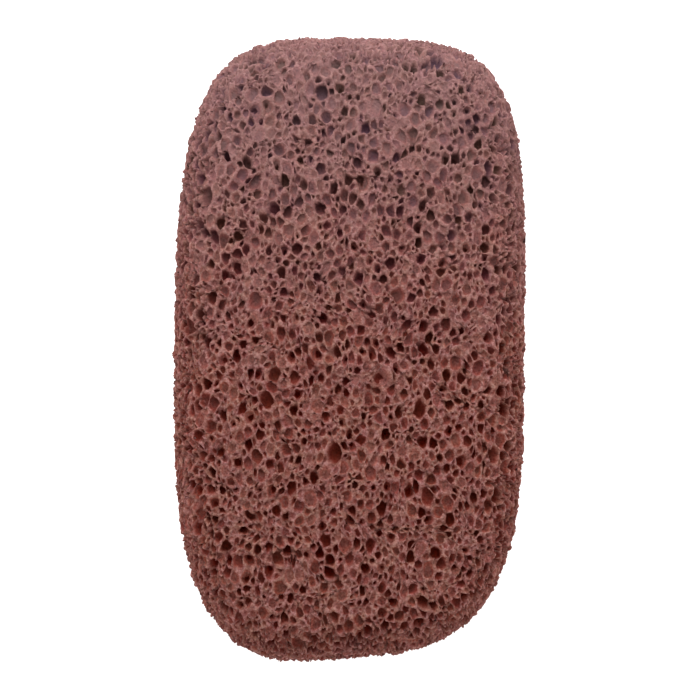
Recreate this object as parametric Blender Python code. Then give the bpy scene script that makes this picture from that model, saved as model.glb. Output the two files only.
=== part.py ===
"""Pumice foot stone: one block of foamed volcanic glass, ground to a soft rounded pad and pitted all over.

Run with  blender --background --python part.py  or from Blender's text editor. Metres, +Z up.
The stone lies on its flat back, with its length along Y and its crowned working face up.
The origin is under its middle, on the surface that it rests on.
"""

import math
import random

import bmesh
import bpy
from mathutils import Matrix, Vector

# The ground block.
LENGTH = 0.0995
WIDTH = 0.0560
THICKNESS = 0.0360
SQUARENESS = (3.35, 4.00)  # exponents of the plan outline at the -Y end, the rounder one, and at the +Y end
LEAN = (0.009, 0.039)  # how far the hand-held grinding skewed X along Y, and Y along X, across the middle
BEND = (0.019, -0.054)  # how much more of each skew there is at the +Y end, and less at the -Y end
CROWN = (0.0012, 0.0030)  # fall of the working face from its middle to a side, and to an end
ROLL_IN = 0.0075  # both faces roll over into the flanks: how far in from the outline
ROLL_DOWN = 0.0115  # and how far down the flank
SKIN_CUTS = 11  # cuts across each side of the cube that is drawn onto the block
END_CROWDING = 0.5  # 0 spaces the cuts evenly, 1 crowds them at the edges as a sine does

# The open bubbles that are large enough to see from a step away.
PIT_SEED = 7
PIT_COUNT = 305
PIT_RADII = (0.00080, 0.00142)
PIT_SIDES = (5, 6)
PIT_FLOOR = (0.50, 0.70)  # radius of a pit's floor, as a share of its mouth's
PIT_DEPTH = (0.80, 1.30)  # depth under the skin, as a share of the mouth's radius
PIT_RISE = 0.5  # how far a cutter stands out of the skin, as a share of the mouth's radius
PIT_WALL = 0.0007  # least stone left between two mouths
REST_SPOT = (0.0, 0.0)  # a place on the back that stays whole, for the resting mount
REST_CLEAR = 0.0045  # no pit's middle comes nearer to it

# Brick-red stone, as linear colour.
STONE_COLOUR = (0.205, 0.080, 0.067, 1.0)
STONE_ROUGHNESS = 0.95


def clear_scene():
    for obj in list(bpy.data.objects):
        bpy.data.objects.remove(obj)


def collection(name):
    made = bpy.data.collections.new(name)
    bpy.context.scene.collection.children.link(made)
    return made


def past_outline(x, y):
    """How far a point is outside the plan outline, a skewed superellipse; negative inside."""
    end = 2 * y / LENGTH
    along = abs(x - (LEAN[0] + BEND[0] * end) * y) / (WIDTH / 2)
    across = abs(y - (LEAN[1] + BEND[1] * end) * x) / (LENGTH / 2)
    blunt, square = SQUARENESS
    power = blunt + (square - blunt) * min(max(0.5 + y / LENGTH, 0), 1)
    size = max((along**power + across**power) ** (1 / power), 1e-6)
    slope = math.hypot((along / size) ** (power - 1) / WIDTH, (across / size) ** (power - 1) / LENGTH) * 2
    return (size - 1) / slope


def past_faces(x, y, z):
    """How far a point is above the crowned working face or below the flat back; negative between them."""
    fall = CROWN[0] * (2 * x / WIDTH) ** 2 + CROWN[1] * (2 * y / LENGTH) ** 2
    return max(z - (THICKNESS - fall), -z)


def skin_level(point):
    """Zero on the ground skin, negative inside: the faces roll over into the flanks as quarter ellipses."""
    side = past_outline(point.x, point.y) / ROLL_IN + 1
    face = past_faces(*point) / ROLL_DOWN + 1
    return math.hypot(max(side, 0), max(face, 0)) + min(max(side, face), 0) - 1


def skin_slope(point, step=1e-5):
    axes = (Vector((step, 0, 0)), Vector((0, step, 0)), Vector((0, 0, step)))
    return Vector([skin_level(point + axis) - skin_level(point - axis) for axis in axes]) / (2 * step)


def onto_skin(point):
    """The point of the skin that a few Newton steps down the level's slope lead to."""
    for _ in range(16):
        slope = skin_slope(point)
        point = point - slope * (skin_level(point) / slope.length_squared)
    return point


def crowd(share):
    """Move a cut, at -0.5 to 0.5 of a side, towards the nearer edge, where the block is rounder."""
    return share + END_CROWDING * (0.5 * math.sin(math.pi * share) - share)


def ground_block(name, material, home):
    """A cube, cut into a grid and drawn onto the skin."""
    bm = bmesh.new()
    bmesh.ops.create_cube(bm, size=1.0)
    bmesh.ops.subdivide_edges(bm, edges=bm.edges, cuts=SKIN_CUTS, use_grid_fill=True)
    for vert in bm.verts:
        x, y, z = (crowd(share) for share in vert.co)
        vert.co = onto_skin(Vector((x * WIDTH, y * LENGTH, (z + 0.5) * THICKNESS)))
    mesh = bpy.data.meshes.new(name)
    bm.to_mesh(mesh)
    bm.free()
    mesh.materials.append(material)
    obj = bpy.data.objects.new(name, mesh)
    home.objects.link(obj)
    return obj


def spot_on_skin(rng):
    """A random point of the skin, about as likely on each bit of its area."""
    sides = (WIDTH, LENGTH, THICKNESS)
    areas = (LENGTH * THICKNESS, WIDTH * THICKNESS, WIDTH * LENGTH)
    axis = rng.choices((0, 1, 2), weights=areas)[0]
    shares = [rng.uniform(-0.5, 0.5) for _ in sides]
    shares[axis] = rng.choice((-0.5, 0.5))
    spot = Vector([share * side for share, side in zip(shares, sides)])
    return onto_skin(spot + Vector((0, 0, THICKNESS / 2)))


def open_bubbles():
    """(spot on the skin, mouth radius) of each pit, the largest first, all clear of one another."""
    rng = random.Random(PIT_SEED)
    small, large = PIT_RADII
    kept = []
    while len(kept) < PIT_COUNT:
        radius = large - (large - small) * len(kept) / PIT_COUNT
        spot = spot_on_skin(rng)
        at_rest_spot = spot.z < THICKNESS / 4 and (spot.xy - Vector(REST_SPOT)).length < REST_CLEAR
        crowded = any((spot - other).length < radius + mouth + PIT_WALL for other, mouth in kept)
        if not (at_rest_spot or crowded):
            kept.append((spot, radius))
    return kept


def pit_cutter(name, home):
    """All the open bubbles as one mesh of tapered plugs, each square to the skin and turned its own way."""
    rng = random.Random(PIT_SEED + 1)
    bm = bmesh.new()
    for spot, radius in open_bubbles():
        floor = radius * rng.uniform(*PIT_FLOOR)
        depth = radius * rng.uniform(*PIT_DEPTH)
        rise = radius * PIT_RISE
        top = floor + (radius - floor) * (depth + rise) / depth
        upright = skin_slope(spot).to_track_quat("Z", "Y").to_matrix().to_4x4()
        turn = Matrix.Rotation(rng.uniform(0, math.tau), 4, "Z")
        sink = Matrix.Translation((0, 0, (rise - depth) / 2))
        bmesh.ops.create_cone(
            bm,
            cap_ends=True,
            segments=rng.choice(PIT_SIDES),
            radius1=floor,
            radius2=top,
            depth=depth + rise,
            matrix=Matrix.Translation(spot) @ upright @ turn @ sink,
        )
    mesh = bpy.data.meshes.new(name)
    bm.to_mesh(mesh)
    bm.free()
    obj = bpy.data.objects.new(name, mesh)
    obj.hide_render = True
    obj.display_type = "WIRE"
    home.objects.link(obj)
    return obj


def stone_material():
    material = bpy.data.materials.new("pumice")
    material.use_nodes = True
    shader = material.node_tree.nodes["Principled BSDF"]
    shader.inputs["Base Color"].default_value = STONE_COLOUR
    shader.inputs["Roughness"].default_value = STONE_ROUGHNESS
    shader.inputs["Metallic"].default_value = 0.0
    return material


def main():
    clear_scene()
    stone = ground_block("pumice_stone", stone_material(), collection("pumice"))
    cut = stone.modifiers.new("open_bubbles", "BOOLEAN")
    cut.operation = "DIFFERENCE"
    cut.object = pit_cutter("open_bubbles", collection("cutters"))


main()
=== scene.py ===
import math
import random

import bmesh
import bpy
import numpy as np
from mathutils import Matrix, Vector, noise


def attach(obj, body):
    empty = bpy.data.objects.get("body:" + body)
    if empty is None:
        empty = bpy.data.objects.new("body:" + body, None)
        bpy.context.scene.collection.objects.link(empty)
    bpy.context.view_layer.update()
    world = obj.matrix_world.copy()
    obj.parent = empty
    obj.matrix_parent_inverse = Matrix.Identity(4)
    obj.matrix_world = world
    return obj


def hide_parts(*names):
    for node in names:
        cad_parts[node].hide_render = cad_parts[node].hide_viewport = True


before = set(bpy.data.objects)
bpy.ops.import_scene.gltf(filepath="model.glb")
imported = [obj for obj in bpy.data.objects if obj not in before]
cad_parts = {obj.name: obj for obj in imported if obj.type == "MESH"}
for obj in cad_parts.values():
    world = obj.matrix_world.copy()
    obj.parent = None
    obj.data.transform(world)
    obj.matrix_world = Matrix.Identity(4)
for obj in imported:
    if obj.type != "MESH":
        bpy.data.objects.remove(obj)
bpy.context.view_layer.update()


# The ground block. The stone is frozen lava foam, sawn to a brick and ground by hand to a pad with a flat
# back, a crowned working face and rolled edges. All its bubbles open on this skin, which is its solid's too.

LENGTH = 0.0995
WIDTH = 0.0560
THICKNESS = 0.0360
SIDES = np.array((WIDTH, LENGTH, THICKNESS))
MIDDLE = np.array((0, 0, THICKNESS / 2))
SQUARENESS = (3.35, 4.00)  # exponents of the plan outline at the -Y end and at the +Y end
LEAN = (0.009, 0.039)  # skew of X along Y, and of Y along X, across the middle
BEND = (0.019, -0.054)  # how much more of each skew there is at the +Y end, and less at the -Y end
CROWN = (0.0012, 0.0030)  # fall of the face from its middle to a side, and to an end
ROLL_IN = 0.0075  # the edges roll over as quarter ellipses, this far in from the outline
ROLL_DOWN = 0.0115  # and this far down the flank


def skin_level(points):
    """Zero on the ground skin and negative inside."""
    x, y, z = points.T
    end = 2 * y / LENGTH
    along = np.abs(x - (LEAN[0] + BEND[0] * end) * y) / (WIDTH / 2)
    across = np.abs(y - (LEAN[1] + BEND[1] * end) * x) / (LENGTH / 2)
    blunt, square = SQUARENESS
    power = blunt + (square - blunt) * np.clip(0.5 + y / LENGTH, 0, 1)
    size = np.maximum((along**power + across**power) ** (1 / power), 1e-6)
    slope = np.hypot((along / size) ** (power - 1) / WIDTH, (across / size) ** (power - 1) / LENGTH) * 2
    side = (size - 1) / slope / ROLL_IN + 1
    fall = CROWN[0] * (2 * x / WIDTH) ** 2 + CROWN[1] * (2 * y / LENGTH) ** 2
    face = np.maximum(z - (THICKNESS - fall), -z) / ROLL_DOWN + 1
    return np.hypot(np.maximum(side, 0), np.maximum(face, 0)) + np.minimum(np.maximum(side, face), 0) - 1


def skin_slope(points, step=1e-5):
    rise = [skin_level(points + axis) - skin_level(points - axis) for axis in step * np.eye(3)]
    return np.stack(rise, axis=1) / (2 * step)


def skin_normal(points):
    slope = skin_slope(points)
    return slope / np.linalg.norm(slope, axis=1, keepdims=True)


def onto_skin(points, rounds=12):
    """The points of the skin that a few Newton steps down the level's slope lead to."""
    for _ in range(rounds):
        slope = skin_slope(points)
        points = points - slope * (skin_level(points) / (slope**2).sum(axis=1))[:, None]
    return points


# The bubbles. Gas froze in the lava as bubbles of every size, and the grinding cut through a layer of them.
# The largest are those that the solid has as pits, and ever finer ones fill the gaps between them. The flow
# drew all of them out along the stone, so they are packed as they were before that.

PIT_SEED = 7
PIT_COUNT = 305
PIT_RADII = (0.00080, 0.00142)
PIT_WALL = 0.0007  # least stone left between two of the largest
PIT_TRIES = 3000  # spots drawn for them, more than are needed
REST_CLEAR = 0.0045  # the middle of the back has none of them
DRAWN = np.array((1, 1.35, 1))  # how far the flow drew the bubbles out along each axis
MOUTH = 0.80  # share of a largest bubble's radius across the stone
FINE_SEED = 11
FINE_RADII = (0.00018, 0.00073)
FINE_FALL = 2.1  # how fast the radii fall from batch to batch
FINE_BATCHES = 44
FINE_TRIES = 2900  # spots tried in one batch
FINE_CLOSENESS = 0.93  # share of their radii that two bubbles keep apart


def largest_bubbles():
    """Spots on the skin and mouth radii, by the same rule and the same draws as the solid's pits."""
    rng = random.Random(PIT_SEED)
    areas = (LENGTH * THICKNESS, WIDTH * THICKNESS, WIDTH * LENGTH)
    starts = []
    for _ in range(PIT_TRIES):
        axis = rng.choices((0, 1, 2), weights=areas)[0]
        shares = [rng.uniform(-0.5, 0.5) for _ in SIDES]
        shares[axis] = rng.choice((-0.5, 0.5))
        starts.append(shares)
    tried = onto_skin(np.array(starts) * SIDES + MIDDLE, rounds=16)
    small, large = PIT_RADII
    spots = np.empty((0, 3))
    radii = np.empty(0)
    for spot in tried:
        radius = large - (large - small) * len(spots) / PIT_COUNT
        at_rest_spot = spot[2] < THICKNESS / 4 and np.hypot(spot[0], spot[1]) < REST_CLEAR
        crowded = (np.linalg.norm(spots - spot, axis=1) < radii + radius + PIT_WALL).any()
        if len(spots) < PIT_COUNT and not (at_rest_spot or crowded):
            spots = np.vstack((spots, spot))
            radii = np.append(radii, radius)
    return spots, radii


def spots_on_skin(rng, count):
    """Random points of the skin, about as likely on each bit of its area."""
    areas = np.array((LENGTH * THICKNESS, WIDTH * THICKNESS, WIDTH * LENGTH))
    axis = rng.choice(3, count, p=areas / areas.sum())
    shares = rng.uniform(-0.5, 0.5, (count, 3))
    shares[np.arange(count), axis] = rng.choice((-0.5, 0.5), count)
    return onto_skin(shares * SIDES + MIDDLE, rounds=8)


def squared_gaps(some, others):
    return (some**2).sum(axis=1)[:, None] + (others**2).sum(axis=1) - 2 * some @ others.T


def with_finer_bubbles(spots, radii):
    """The bubbles given and, batch by batch, finer ones wherever a random spot still has room."""
    rng = np.random.default_rng(FINE_SEED)
    small, large = FINE_RADII
    for batch in range(FINE_BATCHES):
        radius = small + (large - small) * (1 - batch / (FINE_BATCHES - 1)) ** FINE_FALL
        tries = spots_on_skin(rng, FINE_TRIES) / DRAWN
        clear = squared_gaps(tries, spots) > ((radius + radii) * FINE_CLOSENESS) ** 2
        tries = tries[clear.all(axis=1)]
        near = squared_gaps(tries, tries) < (2 * radius * FINE_CLOSENESS) ** 2
        taken = np.zeros(len(tries), bool)
        kept = []
        for k in range(len(tries)):
            if not taken[k]:
                kept.append(k)
                taken |= near[k]
        spots = np.vstack((spots, tries[kept]))
        radii = np.append(radii, np.full(len(kept), radius))
    return spots, radii


spots, radii = largest_bubbles()
spots, radii = with_finer_bubbles(spots / DRAWN, radii * MOUTH)


# The walls between the bubbles, as the grinding left them: a net of thin rims, each one midway between two
# bubbles by their sizes, with three rims to a junction. One face of the net is one bubble's mouth.

MM = 1000  # the rims are worked out in millimetres
AT_CORNER = 0.001  # two edges that cross this near a corner, as a share of the edge, meet at it
TOO_CLOSE = 1e-7  # a turn that gains less than this, in square millimetres, isn't made
FLATTEST = 1e-12  # least squared height of a triangle, in square millimetres
SHORTEST_RIM = 0.00008  # junctions nearer than this are one
LONGEST_RIM = 0.00045  # a longer straight bit of rim is parted in the middle
EDDY_SEED = 5
EDDY = 0.0052  # the lava's flow stretched the bubbles: the size of its eddies
EDDY_REACH = 0.0016  # and how far they carried them


def hull_triangles(spots):
    """Triangles over the whole skin: the convex hull of the spots' directions from the block's middle."""
    looks = (spots * DRAWN - MIDDLE) / SIDES
    bm = bmesh.new()
    for look in looks / np.linalg.norm(looks, axis=1, keepdims=True):
        bm.verts.new(look)
    bmesh.ops.convex_hull(bm, input=bm.verts)
    bmesh.ops.triangulate(bm, faces=bm.faces)
    bm.verts.index_update()
    bm.normal_update()
    triangles = []
    for face in bm.faces:
        a, b, c = (vert.index for vert in face.verts)
        outward = face.normal.dot(face.calc_center_median()) > 0
        corners = (a, b, c) if outward else (a, c, b)
        first = corners.index(min(corners))
        triangles.append(corners[first:] + corners[:first])
    bm.free()
    return sorted(triangles)


def turned(edge, across, spots, weights):
    """Turn the edge between two triangles if the fourth bubble is nearer than the three; whether it was."""
    a, b = edge
    c, d = across[a, b], across[b, a]
    pa, pb, pc, pd = spots[a], spots[b], spots[c], spots[d]
    run = [q - p for p, q in zip(pa, pb)]
    length = math.hypot(*run)
    flat = []
    for p in (pc, pd):
        arm = [q - o for o, q in zip(pa, p)]
        x = sum(m * n for m, n in zip(arm, run)) / length
        flat.append((x, math.sqrt(max(sum(m * m for m in arm) - x * x, FLATTEST))))
    (cx, cy), (dx, dy) = flat
    crossing = cx + (dx - cx) * cy / (cy + dy)
    if not AT_CORNER * length < crossing < (1 - AT_CORNER) * length:
        return False
    x = (length**2 + weights[a] - weights[b]) / (2 * length)
    y = (cx**2 + cy**2 - 2 * cx * x + weights[a] - weights[c]) / (2 * cy)
    if (x - dx) ** 2 + (y + dy) ** 2 - weights[d] >= x * x + y * y - weights[a] - TOO_CLOSE:
        return False
    for key in ((a, b), (b, c), (c, a), (b, a), (a, d), (d, b)):
        del across[key]
    across[c, a], across[a, d], across[d, c] = d, c, a
    across[d, b], across[b, c], across[c, d] = c, d, b
    return True


def neighbours(triangles, spots, radii):
    """For each edge of the triangles the corner across it, once each edge joins bubbles that share a rim."""
    spots = (spots * MM).tolist()
    weights = ((radii * MM) ** 2).tolist()
    across = {}
    for a, b, c in triangles:
        across[a, b], across[b, c], across[c, a] = c, a, b
    queue = [edge for edge in across if edge[0] < edge[1]]
    waiting = set(queue)
    while queue:
        edge = queue.pop()
        waiting.discard(edge)
        if edge not in across:
            continue
        a, b = edge
        c, d = across[a, b], across[b, a]
        if turned(edge, across, spots, weights):
            for pair in ((c, a), (a, d), (d, b), (b, c)):
                pair = (min(pair), max(pair))
                if pair not in waiting:
                    waiting.add(pair)
                    queue.append(pair)
    return across


def junctions(corners, spots, radii):
    """Where the three rims between each three bubbles meet."""
    a, b, c = (spots[corners[:, k]] * MM for k in range(3))
    wa, wb, wc = ((radii[corners[:, k]] * MM) ** 2 for k in range(3))
    ab, ac = b - a, c - a
    bb, cc, bc = (ab * ab).sum(axis=1), (ac * ac).sum(axis=1), (ab * ac).sum(axis=1)
    to_b, to_c = (bb + wa - wb) / 2, (cc + wa - wc) / 2
    spread = bb * cc - bc**2
    share_b = (to_b * cc - to_c * bc) / spread
    share_c = (to_c * bb - to_b * bc) / spread
    return onto_skin((a + share_b[:, None] * ab + share_c[:, None] * ac) * DRAWN / MM)


def rim_net(spots, radii):
    """The net of rims as a mesh with one face to a bubble, all on the skin."""
    across = neighbours(hull_triangles(spots), spots, radii)
    numbers = {}
    for (a, b), c in across.items():
        least = min(a, b, c)
        corners = (a, b, c) if least == a else (b, c, a) if least == b else (c, a, b)
        numbers.setdefault(corners, len(numbers))
    named = {}
    for (a, b, c), k in numbers.items():
        named[a, b], named[b, c], named[c, a] = k, k, k
    starts = {}
    for a, b in across:
        starts.setdefault(a, b)
    cells = []
    for bubble, start in starts.items():
        cell = [named[bubble, start]]
        turn = across[bubble, start]
        while turn != start:
            cell.append(named[bubble, turn])
            turn = across[bubble, turn]
        cells.append(cell)
    mesh = bpy.data.meshes.new("rim_net")
    mesh.from_pydata(junctions(np.array(list(numbers)), spots, radii).tolist(), [], cells)
    bm = bmesh.new()
    bm.from_mesh(mesh)
    bmesh.ops.remove_doubles(bm, verts=bm.verts, dist=SHORTEST_RIM)
    long = [edge for edge in bm.edges if edge.calc_length() > LONGEST_RIM]
    bmesh.ops.bisect_edges(bm, edges=long, cuts=1)
    bm.to_mesh(mesh)
    bm.free()
    return mesh


def read_vectors(items, name):
    values = np.empty(len(items) * 3)
    items.foreach_get(name, values)
    return values.reshape(-1, 3)


def stretched(net):
    """The net as the lava's eddies left it, with the way into the stone stored at each junction."""
    noise.seed_set(EDDY_SEED)
    places = read_vectors(net.vertices, "co")
    eddies = np.array([noise.noise_vector(Vector(place) / EDDY) for place in places])
    places = onto_skin(places + eddies * EDDY_REACH)
    net.vertices.foreach_set("co", places.ravel())
    into = net.attributes.new("into", "FLOAT_VECTOR", "POINT")
    into.data.foreach_set("vector", -skin_normal(places).ravel())
    return net


net = stretched(rim_net(spots, radii))


# The cups. Each bubble was cut open at its own height: a shallow dish where the cut only touched it, a deep
# dark hole where it went through the middle, with here and there a window into the bubble underneath. The
# rims between them are worn, wavy and gritty, and some are broken down.

CUP_SEED = 3
CUP_SIZES = {  # lengths in metres
    "Dish depth": 0.00010,  # every cup is this deep,
    "Deepest": 2.35,  # and this share of its size, times what its luck gives on the curve below
    "Cluster": 0.0021,  # deep cups lie together in clusters of about this size:
    "Cluster share": 0.45,  # share of a cup's luck that it has from there
    "Size share": 1.00,  # a cup's size is this share of its reach,
    "Widest": 0.00085,  # up to this reach,
    "Size added": -0.00005,  # and this more on the faces,
    "Side added": 0.00008,  # or this on the sides
    "Side depth": 1.2,  # the cups of the sides are this much deeper
    "Clogged from": 0.0280,  # along the stone: from here on the cups are clogged with dust,
    "Clogged to": 0.0500,  # and here
    "Clogged depth": 0.45,  # they keep this share of their depth
    "Finest rim": 0.00004,  # half a rim's width
    "Stoutest rim": 0.00030,
    "Rim share": 0.38,  # of a cup's reach, which the rim takes at most
    "Least round": 0.55,  # how far a cup's angular mouth becomes a circle
    "Roundest": 1.00,
    "Fine cup": 0.00036,  # a cup of less reach has no wall ring of its own
    "Windows": 0.16,  # share of the larger cups that have a window,
    "Window reach": 0.00056,  # which are those of at least this reach
    "Crest drop": 0.00024,  # how far a rim lies under the skin at most,
    "Side drop": 0.00080,  # or this far on the sides, which are less ground
    "Low shade": 0.35,  # share of that by which it gets the painted shade of depth, as if sunk
    "Proud": 0.00010,  # the highest rims stand this far out of the skin
    "Broken": 0.28,  # this share of them are broken down as well,
    "Broken drop": 0.70,  # by up to this share of the cups' depth
    "Waver size": 0.0022,  # the rims waver: over what length,
    "Waver reach": 0.00055,  # and how far
    "Grit size": 0.00030,
    "Grit reach": 0.00013,
}
DEPTH_CURVE = ((0.0, 0.08), (0.20, 0.17), (0.50, 0.33), (0.72, 0.55), (0.87, 0.86), (1.0, 1.08))
NOISE_RANGE = (0.3, 0.7)  # where most values of a soft noise lie
LUCK_RANGE = (0.18, 0.82)  # where most values of a cup's luck lie, once it is mixed with its cluster's
UPRIGHT = (0.65, 0.97)  # how level the skin is where the sides end, and where the faces begin
WEAR = 2.0  # the higher, the fewer rims lie low
WALL_SHADE_DEPTH = 0.0006  # a cup this deep has the full painted wall shade, darkest and reddest

# Each ring of a cup: the share that it keeps of the width before, how far it goes round, how much of the
# depth that is left it goes down, and how much painted wall shade it takes.
LIP = {"Share": 1.0, "Sink": 0.06, "Wall": 0.22}
WALL = {"Share": 0.85, "Roundness": 0.3, "Sink": 0.48, "Wall": 0.75}
FLOOR = {"Roundness": 0.2, "Sink": 0.80}
FLOOR_WIDTHS = (0.58, 0.86)  # share of the width kept by a whole floor, and by one with a window
FLOOR_MIDDLE = {"Share": 0.0, "Roundness": 0.0, "Sink": 1.0}
WINDOW = {"Roundness": 0.4, "Sink": 0.1, "Wall": 1.0}
WINDOW_WIDTHS = (0.55, 0.90)  # of the floor's width
WINDOW_DEPTHS = (0.0005, 0.0016)
WINDOW_FLOOR = {"Share": 0.85, "Roundness": 0.5, "Sink": 1.0, "Wall": 0.6}
SMALL_CUP = (0.00020, 0.00050)  # reach of a cup whose floor takes as much painted wall shade as a wall, and of one with a grey floor
SLIP = (0.7, 1.0)  # how far a floor lies aside, as a share of the room that it has
FLOOR_ROOM = 0.95  # which is this share of the cup's reach less its own width,
WINDOW_ROOM = 0.98  # or this for a window
SAME_SPOT = 0.000001  # points nearer than this are one


def put(tree, kind, inputs=None, **settings):
    """A new node: its settings, and its inputs as plain values or as other nodes' sockets."""
    node = tree.nodes.new(kind)
    for name, value in settings.items():
        setattr(node, name, value)
    for name, value in (inputs or {}).items():
        if isinstance(value, bpy.types.NodeSocket):
            tree.links.new(value, node.inputs[name])
        else:
            node.inputs[name].default_value = value
    return node


def number(tree, operation, *values):
    return put(tree, "ShaderNodeMath", dict(enumerate(values)), operation=operation).outputs[0]


def arrow(tree, operation, *values, scale=None):
    inputs = dict(enumerate(values))
    if scale is not None:
        inputs["Scale"] = scale
    node = put(tree, "ShaderNodeVectorMath", inputs, operation=operation)
    return node.outputs["Value" if operation in ("DOT_PRODUCT", "LENGTH") else "Vector"]


def laid(tree, value, low, high, least=0.0, most=1.0, **settings):
    """The value's range from low to high laid over the range from least to most."""
    inputs = {"Value": value, "From Min": low, "From Max": high, "To Min": least, "To Max": most}
    return put(tree, "ShaderNodeMapRange", inputs, **settings).outputs["Result"]


def tree_with(name, sizes, results=("Geometry",)):
    """A geometry tree with the named inputs and results, and its group input's sockets."""
    tree = bpy.data.node_groups.new(name, "GeometryNodeTree")
    for label, kind in (("Geometry", "Geometry"), *sizes):
        tree.interface.new_socket(label, in_out="INPUT", socket_type="NodeSocket" + kind)
    for label in results:
        kind = "Geometry" if label == "Geometry" else "Bool"
        tree.interface.new_socket(label, in_out="OUTPUT", socket_type="NodeSocket" + kind)
    return tree, put(tree, "NodeGroupInput").outputs


def read(tree, name, kind="FLOAT"):
    node = put(tree, "GeometryNodeInputNamedAttribute", {"Name": name}, data_type=kind)
    return node.outputs["Attribute"]


def write(tree, geometry, name, value, kind="FLOAT", domain="FACE", chosen=True):
    inputs = {"Geometry": geometry, "Selection": chosen, "Name": name, "Value": value}
    node = put(tree, "GeometryNodeStoreNamedAttribute", inputs, data_type=kind, domain=domain)
    return node.outputs["Geometry"]


def forgotten(tree, geometry, names):
    for name in names:
        inputs = {"Geometry": geometry, "Name": name}
        geometry = put(tree, "GeometryNodeRemoveAttribute", inputs).outputs["Geometry"]
    return geometry


def chance(tree, seed, step, least=0.0, most=1.0):
    """A number of its own for each face or point; each use has its own step."""
    inputs = {2: least, 3: most, "Seed": number(tree, "ADD", seed, step)}
    return put(tree, "FunctionNodeRandomValue", inputs, data_type="FLOAT").outputs[1]


def soft_noise(tree, size):
    """The outputs of a soft noise with clouds of that size."""
    inputs = {"Scale": number(tree, "DIVIDE", 1.0, size), "Detail": 1.0}
    return put(tree, "ShaderNodeTexNoise", inputs).outputs


def moved(tree, geometry, chosen=True, **place):
    inputs = {"Geometry": geometry, "Selection": chosen, **place}
    return put(tree, "GeometryNodeSetPosition", inputs).outputs["Geometry"]


def shifted(tree, geometry, size, reach):
    """Every point moved by a soft noise of that size, by up to about that reach."""
    shift = arrow(tree, "SUBTRACT", soft_noise(tree, size)["Color"], (0.5, 0.5, 0.5))
    shift = arrow(tree, "SCALE", shift, scale=number(tree, "MULTIPLY", reach, 2.0))
    return moved(tree, geometry, Offset=shift)


def merged(tree, geometry, chosen):
    inputs = {"Geometry": geometry, "Selection": chosen, "Distance": SAME_SPOT}
    return put(tree, "GeometryNodeMergeByDistance", inputs).outputs["Geometry"]


def finished(tree, geometry, material):
    """The end of every tree: instances realized and the material set."""
    geometry = put(tree, "GeometryNodeRealizeInstances", {"Geometry": geometry}).outputs["Geometry"]
    geometry = put(tree, "GeometryNodeSetMaterial", {"Geometry": geometry, "Material": material})
    put(tree, "NodeGroupOutput", {"Geometry": geometry.outputs["Geometry"]})


def on_curve(tree, value, curve):
    node = put(tree, "ShaderNodeFloatCurve", {"Value": value})
    points = node.mapping.curves[0].points
    for at, height in curve[1:-1]:
        points.new(at, height)
    for point, (at, height) in zip(points, curve):
        point.location = at, height
        point.handle_type = "VECTOR"
    node.mapping.update()
    return node.outputs[0]


def ring_tree():
    """One more ring of each chosen cup: drawn in towards its middle, rounded, sunk and slipped aside.

    Its points keep how far they are sunk and how much painted wall shade they take, for the colour.
    """
    sizes = ("Rim", "Share", "Roundness", "Sink", "Slip", "Wall")
    sizes = (("Cups", "Bool"), *((size, "Float") for size in sizes))
    tree, given = tree_with("cup ring", sizes, ("Geometry", "Floors"))
    inputs = {"Mesh": given["Geometry"], "Selection": given["Cups"], "Offset Scale": 0.0, "Individual": True}
    ring = put(tree, "GeometryNodeExtrudeMesh", inputs, mode="FACES").outputs
    middle, inward = read(tree, "middle", "FLOAT_VECTOR"), read(tree, "inward", "FLOAT_VECTOR")
    reach, depth = read(tree, "reach"), read(tree, "depth")

    spoke = arrow(tree, "SUBTRACT", put(tree, "GeometryNodeInputPosition").outputs[0], middle)
    sunk = arrow(tree, "DOT_PRODUCT", spoke, inward)
    level = arrow(tree, "SUBTRACT", spoke, arrow(tree, "SCALE", inward, scale=sunk))
    length = arrow(tree, "LENGTH", level)
    to_circle = number(tree, "SUBTRACT", reach, length)
    rounder = number(tree, "MULTIPLY_ADD", to_circle, given["Roundness"], length)
    kept = number(tree, "MULTIPLY", number(tree, "SUBTRACT", rounder, given["Rim"]), given["Share"])
    drawn_in = arrow(tree, "SCALE", arrow(tree, "NORMALIZE", level), scale=kept)
    sinking = number(tree, "MULTIPLY_ADD", number(tree, "SUBTRACT", depth, sunk), given["Sink"], sunk)
    aside = arrow(tree, "SCALE", read(tree, "slip", "FLOAT_VECTOR"), scale=given["Slip"])
    new_middle = arrow(tree, "ADD", middle, aside)
    place = arrow(tree, "ADD", new_middle, drawn_in)
    place = arrow(tree, "ADD", place, arrow(tree, "SCALE", inward, scale=sinking))

    under = number(tree, "ADD", read(tree, "sunk"), number(tree, "SUBTRACT", sinking, sunk))
    # The wall shade: painted shade that grows with the cup's depth, making its walls darker and redder.
    wall = number(tree, "MULTIPLY", given["Wall"], laid(tree, depth, 0.0, WALL_SHADE_DEPTH))
    cup = write(tree, ring["Mesh"], "sunk", under, domain="POINT", chosen=ring["Top"])
    cup = write(tree, cup, "wall", wall, domain="POINT", chosen=ring["Top"])
    cup = moved(tree, cup, ring["Top"], Position=place)
    less = number(tree, "MULTIPLY", number(tree, "SUBTRACT", reach, given["Rim"]), given["Share"])
    cup = write(tree, cup, "reach", less, chosen=ring["Top"])
    cup = write(tree, cup, "middle", new_middle, "FLOAT_VECTOR", chosen=ring["Top"])
    put(tree, "NodeGroupOutput", {"Geometry": cup, "Floors": ring["Top"]})
    return tree


def cup_luck(tree, given):
    """From 0 to 1, how near its middle each bubble was cut: partly its own luck, partly its cluster's."""
    clusters = laid(tree, soft_noise(tree, given["Cluster"])["Fac"], *NOISE_RANGE)
    inputs = {0: given["Cluster share"], 2: chance(tree, given["Seed"], 1), 3: clusters}
    return laid(tree, put(tree, "ShaderNodeMix", inputs).outputs[0], *LUCK_RANGE)


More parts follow.
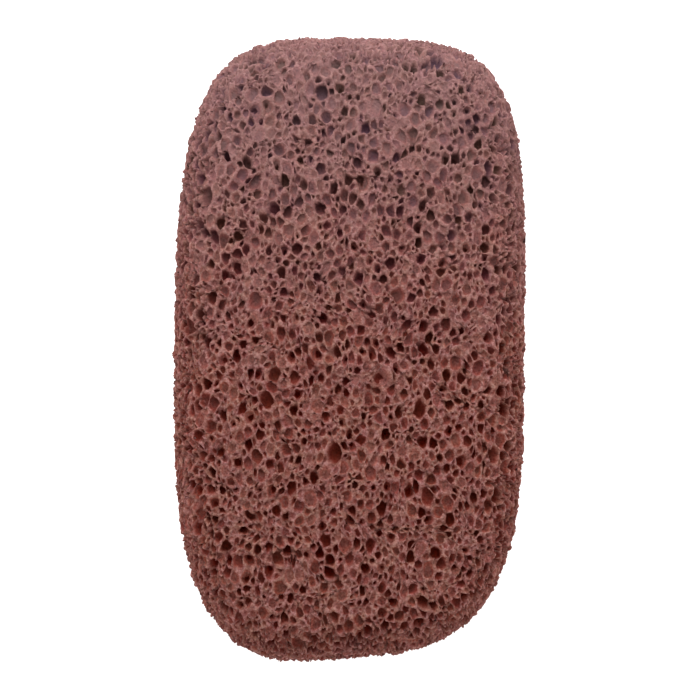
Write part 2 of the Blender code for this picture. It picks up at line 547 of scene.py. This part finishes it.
def cup_depth(tree, given, place, luck, reach, upright):
    """By its luck and its size, more on the sides, and less where the cups are clogged."""
    size = number(tree, "MINIMUM", reach, given["Widest"])
    added = laid(tree, upright, *UPRIGHT, given["Side added"], given["Size added"])
    size = number(tree, "MULTIPLY_ADD", size, given["Size share"], added)
    share = number(tree, "MULTIPLY", on_curve(tree, luck, DEPTH_CURVE), given["Deepest"])
    share = number(tree, "MULTIPLY", share, laid(tree, upright, *UPRIGHT, given["Side depth"], 1.0))
    drawn_out = arrow(tree, "MULTIPLY", place, given["Drawn out"])
    along = put(tree, "ShaderNodeSeparateXYZ", {"Vector": drawn_out}).outputs["Y"]
    clear = laid(tree, along, given["Clogged from"], given["Clogged to"], 1.0, given["Clogged depth"])
    share = number(tree, "MULTIPLY", share, clear)
    return number(tree, "MULTIPLY_ADD", size, share, given["Dish depth"])


def slip_aside(tree, seed, normal):
    """An arrow along the skin, its own way for each cup."""
    toss = put(tree, "ShaderNodeCombineXYZ", {k: chance(tree, seed, 20 + k, -1.0, 1.0) for k in range(3)})
    toss = arrow(tree, "NORMALIZE", arrow(tree, "CROSS_PRODUCT", toss.outputs[0], normal))
    return arrow(tree, "SCALE", toss, scale=chance(tree, seed, 5, *SLIP))


def worn_rims(tree, given, foam, normal, upright):
    """The net with some rims worn low and some broken down, and the highest of them proud of the skin."""
    most = laid(tree, upright, *UPRIGHT, given["Side drop"], given["Crest drop"])
    worn = number(tree, "MULTIPLY", number(tree, "POWER", chance(tree, given["Seed"], 4), WEAR), most)
    whole = number(tree, "SUBTRACT", 1.0, given["Broken"])
    most = number(tree, "MULTIPLY", read(tree, "depth"), given["Broken drop"])
    broken = number(tree, "MULTIPLY", laid(tree, chance(tree, given["Seed"], 6), whole, 1.0), most)
    low = number(tree, "ADD", worn, broken)
    rise = number(tree, "SUBTRACT", given["Proud"], low)
    foam = moved(tree, foam, Offset=arrow(tree, "SCALE", normal, scale=rise))
    # Rims that lie low get part of the painted shade of depth.
    foam = write(tree, foam, "sunk", number(tree, "MULTIPLY", low, given["Low shade"]), domain="POINT")
    return write(tree, foam, "wall", 0.0, domain="POINT")


def sunk_cups(tree, given, foam):
    """A cup under each mouth: a lip, a wall if it is large, and a floor, whole or with a window."""
    seed, rings = given["Seed"], ring_tree()

    def ringed(foam, cups, **sizes):
        inputs = {"Geometry": foam, "Cups": cups, "Rim": 0.0, "Slip": 0.0, **sizes}
        node = put(tree, "GeometryNodeGroup", inputs, node_tree=rings)
        return node.outputs["Geometry"], node.outputs["Floors"]

    rim = chance(tree, seed, 7, given["Finest rim"], given["Stoutest rim"])
    rim = number(tree, "MINIMUM", rim, number(tree, "MULTIPLY", read(tree, "reach"), given["Rim share"]))
    mouth = chance(tree, seed, 8, given["Least round"], given["Roundest"])
    foam, lips = ringed(foam, True, Rim=rim, Roundness=mouth, **LIP)

    reach = read(tree, "reach")
    fine = number(tree, "LESS_THAN", reach, given["Fine cup"])
    wide = number(tree, "MULTIPLY", lips, number(tree, "SUBTRACT", 1.0, fine))
    aside = number(tree, "MULTIPLY", reach, 1 - WALL["Share"])
    foam, walls = ringed(foam, wide, Slip=aside, **WALL)

    floors = number(tree, "MAXIMUM", walls, number(tree, "MULTIPLY", lips, fine))
    share = laid(tree, read(tree, "window"), 0.0, 1.0, *FLOOR_WIDTHS)
    aside = number(tree, "MULTIPLY", number(tree, "SUBTRACT", FLOOR_ROOM, share), reach)
    all_wall = laid(tree, reach, *SMALL_CUP, 1.0, 0.0)
    foam, floors = ringed(foam, floors, Share=share, Slip=aside, Wall=all_wall, **FLOOR)
    windows = number(tree, "MULTIPLY", floors, read(tree, "window"))
    whole = number(tree, "SUBTRACT", floors, windows)
    foam, middles = ringed(foam, whole, Wall=all_wall, **FLOOR_MIDDLE)
    foam = merged(tree, foam, middles)

    share = chance(tree, seed, 9, *WINDOW_WIDTHS)
    aside = number(tree, "MULTIPLY", number(tree, "SUBTRACT", WINDOW_ROOM, share), reach)
    foam, windows = ringed(foam, windows, Share=share, Slip=aside, **WINDOW)
    deeper = number(tree, "ADD", read(tree, "depth"), chance(tree, seed, 10, *WINDOW_DEPTHS))
    foam = write(tree, foam, "depth", deeper, chosen=windows)
    return ringed(foam, windows, **WINDOW_FLOOR)[0]


def foam_tree():
    """The net of rims as cut foam. It is made as before the flow drew it out, and then drawn out."""
    sizes = (("Seed", "Int"), ("Drawn out", "Vector"), *((size, "Float") for size in CUP_SIZES))
    tree, given = tree_with("cut foam", (*sizes, ("Material", "Material")))
    normal = put(tree, "GeometryNodeInputNormal").outputs[0]
    place = put(tree, "GeometryNodeInputPosition").outputs[0]
    area = put(tree, "GeometryNodeInputMeshFaceArea").outputs[0]
    reach = number(tree, "SQRT", number(tree, "DIVIDE", area, math.pi))
    upright = number(tree, "ABSOLUTE", put(tree, "ShaderNodeSeparateXYZ", {"Vector": normal}).outputs["Z"])
    luck = cup_luck(tree, given)
    lucky = number(tree, "LESS_THAN", chance(tree, given["Seed"], 3), given["Windows"])
    window = number(tree, "MULTIPLY", lucky, number(tree, "GREATER_THAN", reach, given["Window reach"]))

    foam = moved(tree, given["Geometry"], Position=arrow(tree, "DIVIDE", place, given["Drawn out"]))
    foam = write(tree, foam, "luck", luck)
    foam = write(tree, foam, "home", place, "FLOAT_VECTOR")
    foam = write(tree, foam, "middle", place, "FLOAT_VECTOR")
    foam = write(tree, foam, "inward", arrow(tree, "SCALE", normal, scale=-1.0), "FLOAT_VECTOR")
    foam = write(tree, foam, "reach", reach)
    foam = write(tree, foam, "depth", cup_depth(tree, given, place, luck, reach, upright))
    foam = write(tree, foam, "slip", slip_aside(tree, given["Seed"], normal), "FLOAT_VECTOR")
    foam = write(tree, foam, "window", window)
    foam = worn_rims(tree, given, foam, normal, upright)
    foam = sunk_cups(tree, given, foam)

    foam = moved(tree, foam, Position=arrow(tree, "MULTIPLY", place, given["Drawn out"]))
    foam = shifted(tree, foam, given["Waver size"], given["Waver reach"])
    foam = shifted(tree, foam, given["Grit size"], given["Grit reach"])
    foam = put(tree, "GeometryNodeSetShadeSmooth", {"Geometry": foam}).outputs["Geometry"]
    foam = forgotten(tree, foam, ("middle", "reach", "depth", "slip", "window"))
    finished(tree, foam, given["Material"])
    return tree


# The glass. The whole stone is one dull red lava glass, unpolished, grainy and full of pores too fine to
# cut, which are painted darker at their middles as shade. Its rims and floors are greyer, and its colour
# darkens with depth as painted shade, so deep holes are nearly black and the walls of deep cups are painted
# darker and redder. A painted pale haze over the far end and down in its holes stands in for the light's
# glare there.

COLOURS_WITH_DEPTH_SHADE = (  # by how far under the skin, in metres: the glass at the rims, then darker with depth as painted shade in dish floors and deep holes
    (0.00000, (0.455, 0.222, 0.193)),
    (0.00010, (0.350, 0.145, 0.122)),
    (0.00030, (0.254, 0.093, 0.076)),
    (0.00060, (0.174, 0.052, 0.041)),
    (0.00110, (0.152, 0.029, 0.018)),
    (0.00200, (0.155, 0.014, 0.006)),
)
CUP_LEVELS = (0.75, 1.30)  # each cup's painted shade of depth is as if it were this much shallower or deeper than it is
CUP_NUMBERS = 97.0  # large enough to give each cup's luck a noise value of its own
CUP_TINTS = ((0.98, 1.03, 0.97, 1), (1.01, 0.98, 1.04, 1))  # an olive cup and a rosy one
FLOOR_TINT = (0.78, 0.76, 0.745, 1)  # greyer rims and floors
WALL_SHADE_TINT = (1.05, 0.55, 0.46, 1)  # and painted shade on the walls of deep cups, darker and redder
GRAIN = 0.00032  # size of the glass's grain,
GRAIN_DETAIL = (3.0, 0.65)  # how many finer grains lie on it, and how strong they are,
GRAIN_LEVELS = (0.00010, -0.00007)  # as how far down its dark and its pale grains are coloured,
GRAIN_TINTS = ((0.85, 0.80, 0.80, 1), (1.15, 1.23, 1.23, 1))  # and how they are tinted
RUBBLE = 0.00055  # larger crumbs
RUBBLE_LEVELS = (0.00012, -0.00008)
PORES = 0.00046  # size of the finest pores,
PORE_EDGE = (0.12, 0.55)  # where they start and end, as a share of that,
PORE_SHADE_GREYS = (0.80, 1.06)  # and how dark their painted shade makes them
MOTTLE = 0.0070  # size of the duller patches of the lava,
MOTTLE_SHARE = 0.35  # and their strength
MOTTLE_TINT = (0.80, 0.86, 0.95, 1)
TINGE = 0.0013  # size of its faint patches of colour,
TINGES = ((1.00, 1.02, 0.97, 1), (1.00, 0.98, 1.04, 1))  # a little ochre or a little rosy
FAR_HAZE = 0.48  # how much painted pale haze, standing in for the light's glare, there is at the far end,
FAR_HAZE_FROM = -0.012  # where it starts,
FAR_HAZE_WAVER = 0.02  # and how far the mottle shifts it
FAR_HAZE_COLOUR = (0.275, 0.163, 0.166, 1)  # on the rims,
DEEP_HAZE_COLOURS = ((0.118, 0.088, 0.072, 1), (0.110, 0.080, 0.118, 1))  # and this far down in the holes,
DEEP_HAZE_FROM = 0.001
DEEP_HAZE = 1.5  # where there is this much more of it
THICK_HAZE_FROM = 0.0006  # from here down
BUMP_CLOUD = 0.0007  # the unevenness of the glass: the grain, lumps of this size and the pores,
PORE_BUMP = 0.5  # by this share,
BUMP = 0.00011  # and its height
ROUGHNESS = (0.86, 0.98)  # from the dark grains to the pale ones
SHINE = 0.04  # dusty glass has next to none


def cloud(tree, place, size, detail=2.0, roughness=0.5):
    inputs = {"Vector": place, "Scale": 1 / size, "Detail": detail, "Roughness": roughness}
    return put(tree, "ShaderNodeTexNoise", inputs).outputs["Fac"]


def spread(tree, value, low=0.0, high=1.0):
    """A noise's middle range laid over the range from low to high."""
    return laid(tree, value, *NOISE_RANGE, low, high)


def tinted(tree, colour, share, tint, blend="MULTIPLY"):
    inputs = {0: share, 6: colour, 7: tint}
    return put(tree, "ShaderNodeMix", inputs, data_type="RGBA", blend_type=blend).outputs[2]


def between(tree, colours, share):
    return tinted(tree, colours[0], share, colours[1], "MIX")


def greys(tree, value):
    return put(tree, "ShaderNodeCombineXYZ", {0: value, 1: value, 2: value}).outputs[0]


def stored(tree, name):
    return put(tree, "ShaderNodeAttribute", attribute_name=name).outputs["Fac"]


def pumice():
    """Dull red lava glass, with painted shade deeper down the cups and a painted pale haze at the far end.
    """
    material = bpy.data.materials.new("pumice")
    material.use_nodes = True
    tree = material.node_tree
    shader = tree.nodes["Principled BSDF"]
    place = put(tree, "ShaderNodeTexCoord").outputs["Object"]
    sunk = stored(tree, "sunk")
    cup = number(tree, "MULTIPLY", stored(tree, "luck"), CUP_NUMBERS)
    cup = put(tree, "ShaderNodeTexWhiteNoise", {"W": cup}, noise_dimensions="1D").outputs["Value"]
    grain = cloud(tree, place, GRAIN, *GRAIN_DETAIL)
    rubble = cloud(tree, place, RUBBLE, 1.0)
    mottle = cloud(tree, place, MOTTLE, 3.0)
    pores = put(tree, "ShaderNodeTexVoronoi", {"Vector": place, "Scale": 1 / PORES}).outputs["Distance"]
    pores = laid(tree, pores, *PORE_EDGE, interpolation_type="SMOOTHSTEP")

    # Each point's depth, with grain, picks its colour on the ramp: the darker colours further down are
    # painted shade.
    level = number(tree, "ADD", sunk, spread(tree, grain, *GRAIN_LEVELS))
    level = number(tree, "ADD", level, spread(tree, rubble, *RUBBLE_LEVELS))
    level = number(tree, "MULTIPLY", level, laid(tree, cup, 0.0, 1.0, *CUP_LEVELS))
    deepest = COLOURS_WITH_DEPTH_SHADE[-1][0]
    ramp = put(tree, "ShaderNodeValToRGB", {"Fac": number(tree, "DIVIDE", level, deepest)})
    while len(ramp.color_ramp.elements) < len(COLOURS_WITH_DEPTH_SHADE):
        ramp.color_ramp.elements.new(0.5)
    for element, (at, colour) in zip(ramp.color_ramp.elements, COLOURS_WITH_DEPTH_SHADE):
        element.position = at / deepest
        element.color = (*colour, 1)

    colour = ramp.outputs["Color"]
    colour = tinted(tree, colour, spread(tree, mottle, 0.0, MOTTLE_SHARE), MOTTLE_TINT)
    tinge = spread(tree, cloud(tree, place, TINGE, 1.0))
    for tints, share in (
        (CUP_TINTS, cup),
        (TINGES, tinge),
        # painted shade on the walls of deep cups, darker and redder than rims and floors
        ((FLOOR_TINT, WALL_SHADE_TINT), stored(tree, "wall")),
        (GRAIN_TINTS, spread(tree, grain)),
    ):
        colour = tinted(tree, colour, 1.0, between(tree, tints, share))
    # The pores are painted darker at their middles, as the shade in holes too fine to cut.
    colour = tinted(tree, colour, 1.0, greys(tree, laid(tree, pores, 0.0, 1.0, *PORE_SHADE_GREYS)))

    # A painted pale haze over the far end and down in its holes, standing in for the glare of the light
    # there.
    along = put(tree, "ShaderNodeSeparateXYZ", {"Vector": place}).outputs["Y"]
    along = number(tree, "SUBTRACT", along, FAR_HAZE_WAVER / 2)
    along = number(tree, "MULTIPLY_ADD", mottle, FAR_HAZE_WAVER, along)
    dusty = laid(tree, along, FAR_HAZE_FROM, LENGTH / 2, 0.0, FAR_HAZE, interpolation_type="SMOOTHSTEP")
    dusty = number(tree, "MULTIPLY", dusty, laid(tree, sunk, 0.0, THICK_HAZE_FROM, 1.0, DEEP_HAZE))
    deep_dust = between(tree, DEEP_HAZE_COLOURS, cup)
    dust = between(tree, (FAR_HAZE_COLOUR, deep_dust), laid(tree, sunk, 0.0, DEEP_HAZE_FROM))
    colour = between(tree, (colour, dust), dusty)
    tree.links.new(colour, shader.inputs["Base Color"])

    bumps = number(tree, "ADD", grain, cloud(tree, place, BUMP_CLOUD))
    bumps = number(tree, "MULTIPLY_ADD", pores, PORE_BUMP, bumps)
    bump = put(tree, "ShaderNodeBump", {"Height": bumps, "Distance": BUMP, "Strength": 1.0})
    tree.links.new(bump.outputs["Normal"], shader.inputs["Normal"])
    tree.links.new(spread(tree, grain, *ROUGHNESS), shader.inputs["Roughness"])
    shader.inputs["Specular IOR Level"].default_value = SHINE
    return material


stone = pumice()


# The cut skin. The grinding left one unbroken skin of foam, so the whole net becomes cut foam in one go, and
# every rim is shared by its two cups.


def shaped_by(piece, tree, sizes):
    """The piece's mesh as the tree makes it, as a plain mesh."""
    modifier = piece.modifiers.new(tree.name, "NODES")
    modifier.node_group = tree
    for item in tree.interface.items_tree:
        if item.in_out == "INPUT" and item.name in sizes:
            modifier[item.identifier] = sizes[item.name]
    mesh = bpy.data.meshes.new_from_object(piece.evaluated_get(bpy.context.evaluated_depsgraph_get()))
    piece.modifiers.remove(modifier)
    return mesh


foam = bpy.data.objects.new("foam", net)
bpy.context.scene.collection.objects.link(foam)
foam_sizes = {"Seed": CUP_SEED, "Drawn out": DRAWN.tolist(), "Material": stone, **CUP_SIZES}
skin = shaped_by(foam, foam_tree(), foam_sizes)
bpy.data.objects.remove(foam)


# The stone's body. Under the skin it is one solid block of the same lava. A block as fine as this is too
# much for one mesh, so it is kept as eight wedges that meet in its middle, with the foam on their outsides
# and nothing hollow inside.

WEDGES = {  # with the two axes that each one's map lies along
    "face_far": (0, 1),
    "face_near": (0, 1),
    "back_far": (0, 1),
    "back_near": (0, 1),
    "flank_left": (1, 2),
    "flank_right": (1, 2),
    "end_far": (0, 2),
    "end_near": (0, 2),
}
WEDGE_WALL = 0.004  # a wedge's sides go straight in this far, deeper than any cup, and then to the middle
SAME_COUNT = 0.1  # two whole numbers nearer than this are the same
MAP_MARGIN = 0.01  # of a wedge's map
HIDDEN_MAP = (0.002, 0.004)  # where in the margin the hidden sides are, and how large


def wedge_numbers(skin):
    """Which wedge each face is on, by which way its cup faces."""
    x, y, z = -read_vectors(skin.attributes["inward"].data, "vector").T
    near = read_vectors(skin.attributes["home"].data, "vector")[:, 1] < 0
    upright = np.abs(z) > np.hypot(x, y)
    endwise = np.abs(y) > np.abs(x)
    return np.where(upright, 2 * (z < 0) + near, np.where(endwise, 6 + near, 4 + (x > 0)))


def walled_in(tree, mesh, edges, **place):
    """The edges drawn out to where the place says, with new faces marked as hidden, and the new edges."""
    inputs = {"Mesh": mesh, "Selection": edges, "Offset Scale": 0.0}
    drawn = put(tree, "GeometryNodeExtrudeMesh", inputs, mode="EDGES").outputs
    made = moved(tree, drawn["Mesh"], drawn["Top"], **place)
    return write(tree, made, "hidden", 1.0, chosen=drawn["Side"]), drawn["Top"]


def wedge_tree():
    """One wedge: its part of the skin, a short wall in from its edge, and a fan from there to the middle."""
    sizes = (("Wedge", "Int"), ("Wall", "Float"), ("Middle", "Vector"), ("Material", "Material"))
    tree, given = tree_with("wedge", sizes)
    mine = number(tree, "COMPARE", read(tree, "wedge"), given["Wedge"], SAME_COUNT)
    inputs = {"Geometry": given["Geometry"], "Selection": mine}
    made = put(tree, "GeometryNodeSeparateGeometry", inputs, domain="FACE").outputs["Selection"]
    faces = put(tree, "GeometryNodeInputMeshEdgeNeighbors").outputs[0]
    edges = number(tree, "COMPARE", faces, 1.0, SAME_COUNT)
    inputs = {"Geometry": made, "Selection": edges, "Shade Smooth": False}
    made = put(tree, "GeometryNodeSetShadeSmooth", inputs, domain="EDGE").outputs["Geometry"]
    into = arrow(tree, "SCALE", read(tree, "into", "FLOAT_VECTOR"), scale=given["Wall"])
    made, edges = walled_in(tree, made, edges, Offset=into)
    made, middles = walled_in(tree, made, edges, Position=given["Middle"])
    made = merged(tree, made, middles)
    finished(tree, forgotten(tree, made, ("home", "inward", "into", "wedge")), given["Material"])
    return tree


def map_wedge(mesh, axes):
    """A map of the wedge as it is seen straight on, with its hidden sides in a corner."""
    corners = np.empty(len(mesh.loops), int)
    mesh.loops.foreach_get("vertex_index", corners)
    flat = read_vectors(mesh.vertices, "co")[corners][:, axes]
    sides = np.empty(len(mesh.polygons), int)
    mesh.polygons.foreach_get("loop_total", sides)
    hidden = np.empty(len(mesh.polygons))
    mesh.attributes["hidden"].data.foreach_get("value", hidden)
    hidden = np.repeat(hidden > 0.5, sides)
    low, high = flat[~hidden].min(axis=0), flat[~hidden].max(axis=0)
    flat = np.clip((flat - low) / (high - low), 0, 1)
    corner, size = HIDDEN_MAP
    flat = np.where(hidden[:, None], corner + size * flat, MAP_MARGIN + (1 - 2 * MAP_MARGIN) * flat)
    mesh.uv_layers.new(name="OFBake").data.foreach_set("uv", flat.ravel())
    mesh.attributes.remove(mesh.attributes["hidden"])


numbers = wedge_numbers(skin).astype(float)
skin.attributes.new("wedge", "FLOAT", "FACE").data.foreach_set("value", numbers)
wedge = wedge_tree()
for index, (name, axes) in enumerate(WEDGES.items()):
    piece = bpy.data.objects.new(name, skin)
    bpy.context.scene.collection.objects.link(piece)
    wedge_sizes = {"Wedge": index, "Wall": WEDGE_WALL, "Middle": tuple(MIDDLE), "Material": stone}
    piece.data = shaped_by(piece, wedge, wedge_sizes)
    map_wedge(piece.data, list(axes))
    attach(piece, "root")
    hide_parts("pumice_stone")


# The floor. A plain pale sheet of paper that the stone lies on, bright enough from the studio's light to be
# nearly white all over.

FLOOR_SIZE = 2
FLOOR_COLOUR = (0.94, 0.94, 0.94, 1)
FLOOR_GLOW = 0.80

bpy.ops.mesh.primitive_plane_add(size=FLOOR_SIZE)
floor = bpy.context.object
floor.name = "floor"
paper = bpy.data.materials.new("floor")
paper.use_nodes = True
paper_inputs = paper.node_tree.nodes["Principled BSDF"].inputs
paper_inputs["Base Color"].default_value = FLOOR_COLOUR
paper_inputs["Emission Color"].default_value = (1, 1, 1, 1)
paper_inputs["Emission Strength"].default_value = FLOOR_GLOW
floor.data.materials.append(paper)


# The light. The stone lies in a pale room with bright walls and a dim ceiling, with one softbox beyond its
# far end and a larger one high above it.

ROOM = (1.88, 0.265)  # brightness of the walls, and of the ceiling
ROOM_HEIGHTS = (0.0, 0.7)  # from the first, as the sine of how high one looks, to the second
ROOM_COLOUR = (1.0, 0.97, 0.95, 1)
SOFTBOXES = {  # place, width, power and colour
    "softbox_far": ((-0.02, 0.25, 0.22), 0.22, 0.76, (0.93, 0.97, 1.0)),
    "softbox_high": ((0.03, 0.20, 0.95), 0.6, 2.2, (1.0, 0.98, 0.96)),
}
LIT_SPOT = Vector((0, 0.01, 0.025))  # what they point at

world = bpy.data.worlds.new("room")
bpy.context.scene.world = world
world.use_nodes = True
room = world.node_tree
looks = put(room, "ShaderNodeTexCoord").outputs["Generated"]
height = put(room, "ShaderNodeSeparateXYZ", {"Vector": looks}).outputs["Z"]
room.links.new(laid(room, height, *ROOM_HEIGHTS, *ROOM), room.nodes["Background"].inputs["Strength"])
room.nodes["Background"].inputs["Color"].default_value = ROOM_COLOUR

for name, (place, width, power, colour) in SOFTBOXES.items():
    lamp = bpy.data.lights.new(name, "AREA")
    lamp.energy = power
    lamp.size = width
    lamp.color = colour
    softbox = bpy.data.objects.new(name, lamp)
    bpy.context.scene.collection.objects.link(softbox)
    softbox.location = place
    softbox.rotation_euler = (LIT_SPOT - softbox.location).to_track_quat("-Z", "Y").to_euler()


# The camera. It hangs over the stone and looks straight down on its working face through a long lens, from
# about 30 cm above it.

SEEN = 0.1141  # width of what the frame takes in at half the stone's thickness
LENS = 100
SENSOR = 36
ABOVE = (0.0001, -0.00026)  # where it hangs, a hair off the block's middle

lens = bpy.data.cameras.new("camera")
lens.lens = LENS
lens.sensor_width = SENSOR
camera = bpy.data.objects.new("camera", lens)
bpy.context.scene.collection.objects.link(camera)
camera.location = (*ABOVE, THICKNESS / 2 + SEEN * LENS / SENSOR)
bpy.context.scene.camera = camera
bpy.context.scene.view_settings.view_transform = "Standard"
